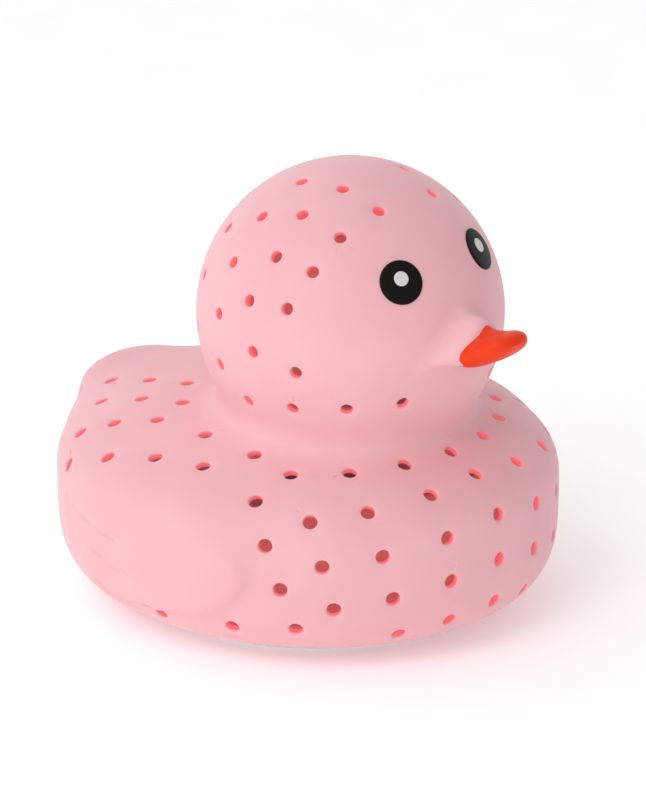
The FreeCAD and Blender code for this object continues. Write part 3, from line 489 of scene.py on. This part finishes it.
# ------------------------------------------------------------ the bill, in millimetres from the head's centre
BILL_TIP = (0.0, -68.6, 6.6)
BILL_RISE = 27.0
SPOON_HALF = (9.0, 12.0, 4.1)
RIDGE_BACK = (0.0, -56.5, 12.0)
RIDGE_FRONT = (0.0, -65.0, 9.2)
RIDGE_FOOT = (10.5, -54.5, -1.5)
RIDGE_ROUND = 3.0
RIDGE_HALF = 8.8
BILL_ROOT = 51.0
BILL_FOOT = -6.0
PLAN_POWER = 2.6
SECTION_POWER = 2.4
RIDGE_EDGE = 3.0
RIDGE_BLEND = 2.2
FOOT_EDGE = 2.5
ROOT_EDGE = 0.5
BILL_LOW = (-22.0, -76.0, -9.0)
BILL_HIGH = (22.0, -46.0, 24.0)
BILL_STEP = 0.5


def bill_distance(point):
    """About the distance from the bill: an upturned spoon with a ridge that runs up to the face."""
    place = point - HEAD_CENTRE
    rise = math.radians(BILL_RISE)
    ahead = np.array([0.0, -math.cos(rise), math.sin(rise)])
    upward = np.array([0.0, math.sin(rise), math.cos(rise)])
    away = place - (np.array(BILL_TIP) - ahead * SPOON_HALF[1])
    along = away @ ahead / SPOON_HALF[1]
    across = away[..., 0] / SPOON_HALF[0]
    above = away @ upward / SPOON_HALF[2]
    plan = (np.abs(along) ** PLAN_POWER + np.abs(across) ** PLAN_POWER) ** (1 / PLAN_POWER)
    section = (plan ** SECTION_POWER + np.abs(above) ** SECTION_POWER) ** (1 / SECTION_POWER)
    spoon = (section - 1) * SPOON_HALF[2]
    top = np.array(RIDGE_BACK)
    face = np.cross(np.array(RIDGE_FRONT) - top, np.array(RIDGE_FOOT) - top)
    face *= math.copysign(1, face[2]) / np.linalg.norm(face)
    beside = place - top
    aside = np.hypot(place[..., 0], RIDGE_ROUND)
    flank = aside * face[0] + beside[..., 1] * face[1] + beside[..., 2] * face[2]
    ridge = smooth_cut(np.maximum(flank, -(away @ upward)), np.abs(place[..., 0]) - RIDGE_HALF, RIDGE_EDGE)
    bill = smooth_union(spoon, ridge, RIDGE_BLEND)
    bill = smooth_cut(bill, BILL_FOOT - place[..., 2], FOOT_EDGE)
    return smooth_cut(bill, place[..., 1] + BILL_ROOT, ROOT_EDGE)


def build_bill():
    """The bill as points and faces."""
    low = HEAD_CENTRE + np.array(BILL_LOW)
    high = HEAD_CENTRE + np.array(BILL_HIGH)
    points, faces = surface_net(low, high, BILL_STEP, bill_distance)
    return even_out(points, faces, 4, bill_distance), faces


# ---------------------------------------------------------------- meshes
def add_mesh(name, points, faces, materials, kinds=None):
    """A smooth-shaded object from points in millimetres."""
    mesh = bpy.data.meshes.new(name)
    mesh.from_pydata((np.array(points) * MM).tolist(), [], [tuple(map(int, face)) for face in faces])
    for material in materials:
        mesh.materials.append(material)
    if kinds:
        mesh.polygons.foreach_set("material_index", kinds)
    mesh.polygons.foreach_set("use_smooth", [True] * len(mesh.polygons))
    mesh.update()
    thing = bpy.data.objects.new(name, mesh)
    bpy.context.scene.collection.objects.link(thing)
    return thing


EYE_TURN = 25.5
EYE_LIFT = 29.0
EYE_SKEW = 1.3
EYE_RADIUS = 6.8
EYE_THICK = 0.5
GLINT_THICK = 0.25
GLINT_RADIUS = 2.26
GLINT_LIFT = 1.2
DISC_SEGMENTS = 64
# a disc's rings inside its rounded edge as shares of its radius, that edge, and how deep its rim goes
DISC_RINGS = (0.3, 0.55, 0.78)
DISC_EDGE = 0.35
DISC_FOOT = -0.8


def domed_disc(name, direction, radius, base, thick, material):
    """A thin disc that follows the head's curve, with a rounded edge."""
    side = np.cross(direction, [0.0, 0.0, 1.0])
    side /= np.linalg.norm(side)
    over = np.cross(side, direction)
    edge = min(DISC_EDGE, thick)
    profile = [(radius * share, thick) for share in DISC_RINGS]
    profile += [(radius - edge * (1 - math.sin(turn)), thick - edge * (1 - math.cos(turn)))
                for turn in (0, math.pi / 6, math.pi / 3, math.pi / 2)]
    profile.append((radius, DISC_FOOT))
    points = [HEAD_CENTRE + direction * (HEAD_RADIUS + base + thick)]
    faces = []
    for ring, (reach, lift) in enumerate(profile):
        slant = reach / HEAD_RADIUS
        for index in range(DISC_SEGMENTS):
            angle = 2 * math.pi * index / DISC_SEGMENTS
            aside = side * math.cos(angle) + over * math.sin(angle)
            ray = direction * math.cos(slant) + aside * math.sin(slant)
            points.append(HEAD_CENTRE + ray * (HEAD_RADIUS + base + lift))
    for index in range(DISC_SEGMENTS):
        after = (index + 1) % DISC_SEGMENTS
        faces.append((0, 1 + index, 1 + after))
        for ring in range(len(profile) - 1):
            here = 1 + ring * DISC_SEGMENTS
            there = here + DISC_SEGMENTS
            faces.append((here + index, there + index, there + after, here + after))
    last = 1 + (len(profile) - 1) * DISC_SEGMENTS
    faces.append(tuple(last + index for index in reversed(range(DISC_SEGMENTS))))
    return add_mesh(name, points, faces, [material])


# ---------------------------------------------------------------- materials
class Paint:
    """A material whose look is built from a few nodes in object coordinates."""

    def __init__(self, name, colour, roughness, **sockets):
        self.material = bpy.data.materials.new(name)
        self.material.use_nodes = True
        self.tree = self.material.node_tree
        self.shader = self.tree.nodes["Principled BSDF"]
        self.shader.inputs["Base Color"].default_value = (*colour, 1)
        self.shader.inputs["Roughness"].default_value = roughness
        for socket, value in sockets.items():
            self.shader.inputs[socket.replace("_", " ")].default_value = value
        self.colour = colour
        self.place = self.node("ShaderNodeTexCoord").outputs["Object"]
        self.height = None

    def node(self, kind, **settings):
        made = self.tree.nodes.new(kind)
        for name, value in settings.items():
            setattr(made, name, value)
        return made

    def join(self, source, target):
        self.tree.links.new(source, target)

    def noise(self, scale, detail=3.0, roughness=0.5):
        made = self.node("ShaderNodeTexNoise")
        made.inputs["Scale"].default_value = scale
        made.inputs["Detail"].default_value = detail
        made.inputs["Roughness"].default_value = roughness
        self.join(self.place, made.inputs["Vector"])
        return made.outputs["Fac"]

    def cells(self, scale):
        made = self.node("ShaderNodeTexVoronoi", feature="F1")
        made.inputs["Scale"].default_value = scale
        self.join(self.place, made.inputs["Vector"])
        return made.outputs["Distance"]

    def rings(self, scale, distortion=0.0):
        """Fine turning marks about Z."""
        made = self.node("ShaderNodeTexWave", wave_type="RINGS", rings_direction="Z")
        made.inputs["Scale"].default_value = scale
        made.inputs["Distortion"].default_value = distortion
        self.join(self.place, made.inputs["Vector"])
        return made.outputs["Fac"]

    def vary(self, other, low, high, source):
        """Mixes the base colour towards another one by a pattern between two thresholds."""
        ramp = self.node("ShaderNodeMapRange")
        ramp.inputs["From Min"].default_value = low
        ramp.inputs["From Max"].default_value = high
        self.join(source, ramp.inputs["Value"])
        mix = self.node("ShaderNodeMix", data_type="RGBA")
        self.join(ramp.outputs["Result"], mix.inputs["Factor"])
        socket = self.shader.inputs["Base Color"]
        if socket.is_linked:
            self.join(socket.links[0].from_socket, mix.inputs["A"])
        else:
            mix.inputs["A"].default_value = (*self.colour, 1)
        mix.inputs["B"].default_value = (*other, 1)
        self.join(mix.outputs["Result"], socket)

    def rough(self, low, high, source):
        """Varies the roughness by a pattern."""
        ramp = self.node("ShaderNodeMapRange")
        ramp.inputs["To Min"].default_value = low
        ramp.inputs["To Max"].default_value = high
        self.join(source, ramp.inputs["Value"])
        self.join(ramp.outputs["Result"], self.shader.inputs["Roughness"])

    def bump(self, source, height, strength=1.0):
        """Adds a relief of a height in metres."""
        made = self.node("ShaderNodeBump")
        made.inputs["Distance"].default_value = height
        made.inputs["Strength"].default_value = strength
        self.join(source, made.inputs["Height"])
        if self.height:
            self.join(self.height, made.inputs["Normal"])
        self.height = made.outputs["Normal"]
        self.join(self.height, self.shader.inputs["Normal"])


def linear(red, green, blue):
    """A linear colour from display values out of 255."""
    return tuple(((value / 255 + 0.055) / 1.055) ** 2.4 if value > 10 else value / 255 / 12.92
                 for value in (red, green, blue))


def pink_vinyl():
    paint = Paint("pink_vinyl", linear(240, 181, 188), 0.55, Subsurface_Weight=0.2, Subsurface_Scale=0.0012,
                  Specular_IOR_Level=0.32, Sheen_Weight=0.12, Sheen_Roughness=0.5)
    paint.shader.inputs["Subsurface Radius"].default_value = (1.0, 0.42, 0.36)
    paint.vary(linear(242, 187, 193), 0.42, 0.72, paint.noise(38, 2))
    paint.vary(linear(236, 174, 182), 0.5, 0.75, paint.noise(13, 3))
    paint.rough(0.47, 0.62, paint.noise(120, 4))
    paint.bump(paint.noise(420, 5, 0.6), 0.00006)
    paint.bump(paint.noise(30, 2), 0.0005, 0.35)
    return paint.material


def hole_vinyl_painted_glow():
    """The inside of the skin and of its holes: a deeper coral copy of the pink vinyl that glows by emission,
    painted light standing in for light shining through the thin vinyl into the holes.
    """
    # painted light: the deeper coral colour and the emission make the holes glow, though no lamp is there
    paint = Paint("hole_vinyl_painted_glow", linear(208, 104, 110), 0.6, Subsurface_Weight=0.3, Subsurface_Scale=0.003,
                  Specular_IOR_Level=0.2, Emission_Color=(*linear(228, 116, 122), 1), Emission_Strength=0.55)
    paint.shader.inputs["Subsurface Radius"].default_value = (1.0, 0.35, 0.3)
    paint.vary(linear(214, 116, 120), 0.4, 0.7, paint.noise(60, 3))
    paint.bump(paint.noise(300, 3), 0.00008)
    return paint.material


def bill_vinyl():
    paint = Paint("bill_vinyl", linear(236, 54, 8), 0.42, Subsurface_Weight=0.2, Subsurface_Scale=0.002,
                  Specular_IOR_Level=0.22, Coat_Weight=0.04, Coat_Roughness=0.3)
    paint.shader.inputs["Subsurface Radius"].default_value = (1.0, 0.32, 0.12)
    paint.vary(linear(240, 64, 14), 0.4, 0.75, paint.noise(70, 3))
    paint.rough(0.36, 0.5, paint.noise(200, 4))
    paint.bump(paint.noise(500, 4), 0.00004)
    return paint.material


def eye_black():
    paint = Paint("eye_black", linear(14, 8, 8), 0.4, Specular_IOR_Level=0.16)
    paint.vary(linear(20, 12, 11), 0.45, 0.7, paint.noise(240, 3))
    paint.rough(0.34, 0.5, paint.noise(420, 4))
    paint.bump(paint.noise(900, 3), 0.00002)
    return paint.material


def eye_white():
    paint = Paint("eye_white", linear(218, 214, 214), 0.35, Specular_IOR_Level=0.5)
    paint.vary(linear(206, 200, 200), 0.5, 0.8, paint.noise(700, 2))
    paint.rough(0.28, 0.42, paint.noise(600, 3))
    return paint.material


def moulded_white():
    paint = Paint("moulded_white", linear(236, 238, 240), 0.4, Specular_IOR_Level=0.5,
                  Subsurface_Weight=0.08, Subsurface_Scale=0.0015)
    paint.vary(linear(226, 229, 233), 0.4, 0.7, paint.noise(45, 4))
    paint.rough(0.33, 0.5, paint.noise(260, 5))
    paint.bump(paint.noise(650, 5, 0.65), 0.00004)
    return paint.material


def moulded_grey():
    paint = Paint("moulded_grey", linear(142, 156, 172), 0.42, Specular_IOR_Level=0.5)
    paint.vary(linear(124, 139, 156), 0.4, 0.7, paint.noise(55, 4))
    paint.rough(0.36, 0.54, paint.noise(260, 5))
    paint.bump(paint.noise(700, 5, 0.7), 0.00005)
    return paint.material


def cell_foam():
    paint = Paint("cell_foam", linear(238, 236, 226), 0.85, Specular_IOR_Level=0.2)
    paint.vary(linear(214, 210, 198), 0.0, 0.35, paint.cells(900))
    paint.bump(paint.cells(900), 0.0003, 0.8)
    paint.bump(paint.noise(90, 4), 0.0004, 0.5)
    return paint.material


def brushed_steel():
    paint = Paint("brushed_steel", linear(188, 189, 192), 0.32, Metallic=1.0)
    paint.vary(linear(160, 162, 166), 0.35, 0.75, paint.noise(160, 4))
    paint.rough(0.22, 0.46, paint.noise(500, 5))
    paint.bump(paint.rings(1800, 1.5), 0.00002, 0.6)
    return paint.material


def pressed_chlorine():
    paint = Paint("pressed_chlorine", linear(244, 243, 234), 0.9, Specular_IOR_Level=0.15)
    paint.vary(linear(226, 224, 212), 0.45, 0.7, paint.noise(420, 6, 0.7))
    paint.bump(paint.noise(1200, 6, 0.8), 0.00012)
    paint.bump(paint.cells(500), 0.0001, 0.5)
    return paint.material


def seal_rubber():
    paint = Paint("seal_rubber", linear(32, 33, 35), 0.62, Specular_IOR_Level=0.35)
    paint.vary(linear(44, 45, 47), 0.45, 0.75, paint.noise(200, 4))
    paint.bump(paint.noise(900, 4), 0.00003)
    return paint.material


def paint_nodes(names, material):
    """Puts one material on every slot of these CAD nodes."""
    for name in names:
        slots = NODES[name].material_slots
        for index in range(len(slots)):
            slots[index].material = material


# ---------------------------------------------------------------- the object
skin_points, skin_faces, skin_kinds = build_skin()
skin = add_mesh("duck_skin", skin_points, skin_faces, [pink_vinyl(), hole_vinyl_painted_glow()], skin_kinds)
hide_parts("duck_shell")
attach(skin, "duck")

bill_points, bill_faces = build_bill()
bill = add_mesh("duck_bill", bill_points, bill_faces, [bill_vinyl()])
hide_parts("beak")
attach(bill, "duck")

black = eye_black()
white = eye_white()
for side, label in ((1, "left"), (-1, "right")):
    lift = EYE_LIFT + side * EYE_SKEW
    eye = domed_disc(f"eye_disc_{label}", toward(side * EYE_TURN, lift), EYE_RADIUS, 0.0, EYE_THICK, black)
    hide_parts(f"eye_{label}")
    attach(eye, "duck")
    dot = domed_disc(f"eye_dot_{label}", toward(side * EYE_TURN, lift + GLINT_LIFT), GLINT_RADIUS,
                     EYE_THICK, GLINT_THICK, white)
    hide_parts(f"eye_highlight_{label}")
    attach(dot, "duck")

paint_nodes(("foot_ring", "belly_collar", "tablet_canister", "head_post", "tablet_tray"), moulded_white())
paint_nodes(("float_retainer", "post_cap", "dose_dial", "dose_sleeve", "base_cap", "ballast_cover"),
            moulded_grey())
paint_nodes(("float_half_front", "float_half_rear", "head_float"), cell_foam())
paint_nodes(("foot_screws", "canister_screws", "tray_clip", "ballast_disc", "cover_screws"), brushed_steel())
paint_nodes(("chlorine_tablets",), pressed_chlorine())
paint_nodes(("cap_seal",), seal_rubber())

# ---------------------------------------------------------------- floor, light and camera
FLOOR_HALF = 8.0
FLOOR_GAP = 0.0002


def studio_floor():
    mesh = bpy.data.meshes.new("studio_floor")
    corners = [(-FLOOR_HALF, -FLOOR_HALF, 0), (FLOOR_HALF, -FLOOR_HALF, 0), (FLOOR_HALF, FLOOR_HALF, 0),
               (-FLOOR_HALF, FLOOR_HALF, 0)]
    mesh.from_pydata([(x, y, z - FLOOR_GAP) for x, y, z in corners], [], [(0, 1, 2, 3)])
    floor = bpy.data.objects.new("studio_floor", mesh)
    bpy.context.scene.collection.objects.link(floor)
    paper = Paint("white_paper", linear(252, 252, 252), 0.7, Specular_IOR_Level=0.1,
                  Emission_Color=(1, 1, 1, 1), Emission_Strength=0.22)
    paper.vary(linear(250, 250, 250), 0.4, 0.7, paper.noise(30, 2))
    mesh.materials.append(paper.material)


def softbox(name, place, aim, size, energy):
    """A square-cornered area light that faces a point."""
    light = bpy.data.lights.new(name, "AREA")
    light.shape = "RECTANGLE"
    light.size, light.size_y = size
    light.energy = energy
    lamp = bpy.data.objects.new(name, light)
    bpy.context.scene.collection.objects.link(lamp)
    lamp.location = place
    lamp.rotation_euler = (Vector(aim) - Vector(place)).to_track_quat("-Z", "Y").to_euler()


VIEW_TURN = -46.3
VIEW_DROP = 20.0
VIEW_DISTANCE = 1.5
VIEW_ASIDE = -0.00846
VIEW_RAISE = -0.02723
SENSOR = 36.0
LENS = 271.7
# the key light's place from the middle of the object: towards the camera, to its left and up
KEY_AHEAD = 0.8
KEY_ASIDE = 0.38
KEY_ABOVE = 0.45
KEY_SIZE = (0.5, 0.5)
KEY_POWER = 2.6
MIDDLE_LEVEL = 0.07
# the surround's strength on its bright and its dim side, and how far round the change runs
SURROUND = (1.0, 0.45)
SURROUND_SPAN = (-0.1, 0.9)
# where the dim side lies, along the camera's right, along its line of sight and up
DIM_SIDE = (0.9, -0.2, 0.4)


def view_axes():
    """Forward, right and up of the camera."""
    turn = math.radians(VIEW_TURN)
    drop = math.radians(VIEW_DROP)
    forward = Vector((-math.sin(turn) * math.cos(drop), math.cos(turn) * math.cos(drop), -math.sin(drop)))
    right = Vector((math.cos(turn), math.sin(turn), 0))
    return forward, right, right.cross(forward)


def aim_camera():
    forward, right, up = view_axes()
    centre = Vector(HEAD_CENTRE * MM)
    lens = bpy.data.cameras.new("camera")
    lens.sensor_fit = "HORIZONTAL"
    lens.sensor_width = SENSOR
    lens.lens = LENS
    camera = bpy.data.objects.new("camera", lens)
    bpy.context.scene.collection.objects.link(camera)
    place = centre - forward * VIEW_DISTANCE + right * VIEW_ASIDE + up * VIEW_RAISE
    camera.matrix_world = Matrix.Translation(place) @ Matrix((right, up, -forward)).transposed().to_4x4()
    bpy.context.scene.camera = camera


def studio_world(dim_side):
    """A white surround that is dimmer towards one side and overhead."""
    world = bpy.data.worlds.new("studio")
    world.use_nodes = True
    tree = world.node_tree
    place = tree.nodes.new("ShaderNodeTexCoord")
    lean = tree.nodes.new("ShaderNodeVectorMath")
    lean.operation = "DOT_PRODUCT"
    lean.inputs[1].default_value = dim_side
    tree.links.new(place.outputs["Generated"], lean.inputs[0])
    ramp = tree.nodes.new("ShaderNodeMapRange")
    ramp.inputs["From Min"].default_value = SURROUND_SPAN[0]
    ramp.inputs["From Max"].default_value = SURROUND_SPAN[1]
    ramp.inputs["To Min"].default_value = SURROUND[0]
    ramp.inputs["To Max"].default_value = SURROUND[1]
    tree.links.new(lean.outputs["Value"], ramp.inputs["Value"])
    tree.links.new(ramp.outputs["Result"], tree.nodes["Background"].inputs["Strength"])
    tree.nodes["Background"].inputs["Color"].default_value = (1, 1, 1, 1)
    bpy.context.scene.world = world


studio_floor()
forward, right, up = view_axes()
middle = Vector((0, 0, MIDDLE_LEVEL))
key_place = middle - forward * KEY_AHEAD - right * KEY_ASIDE + Vector((0, 0, KEY_ABOVE))
softbox("key", key_place, middle, KEY_SIZE, KEY_POWER)
dim_side = right * DIM_SIDE[0] + forward * DIM_SIDE[1] + Vector((0, 0, DIM_SIDE[2]))
studio_world(dim_side.normalized())
aim_camera()

bpy.context.scene.view_settings.view_transform = "Standard"
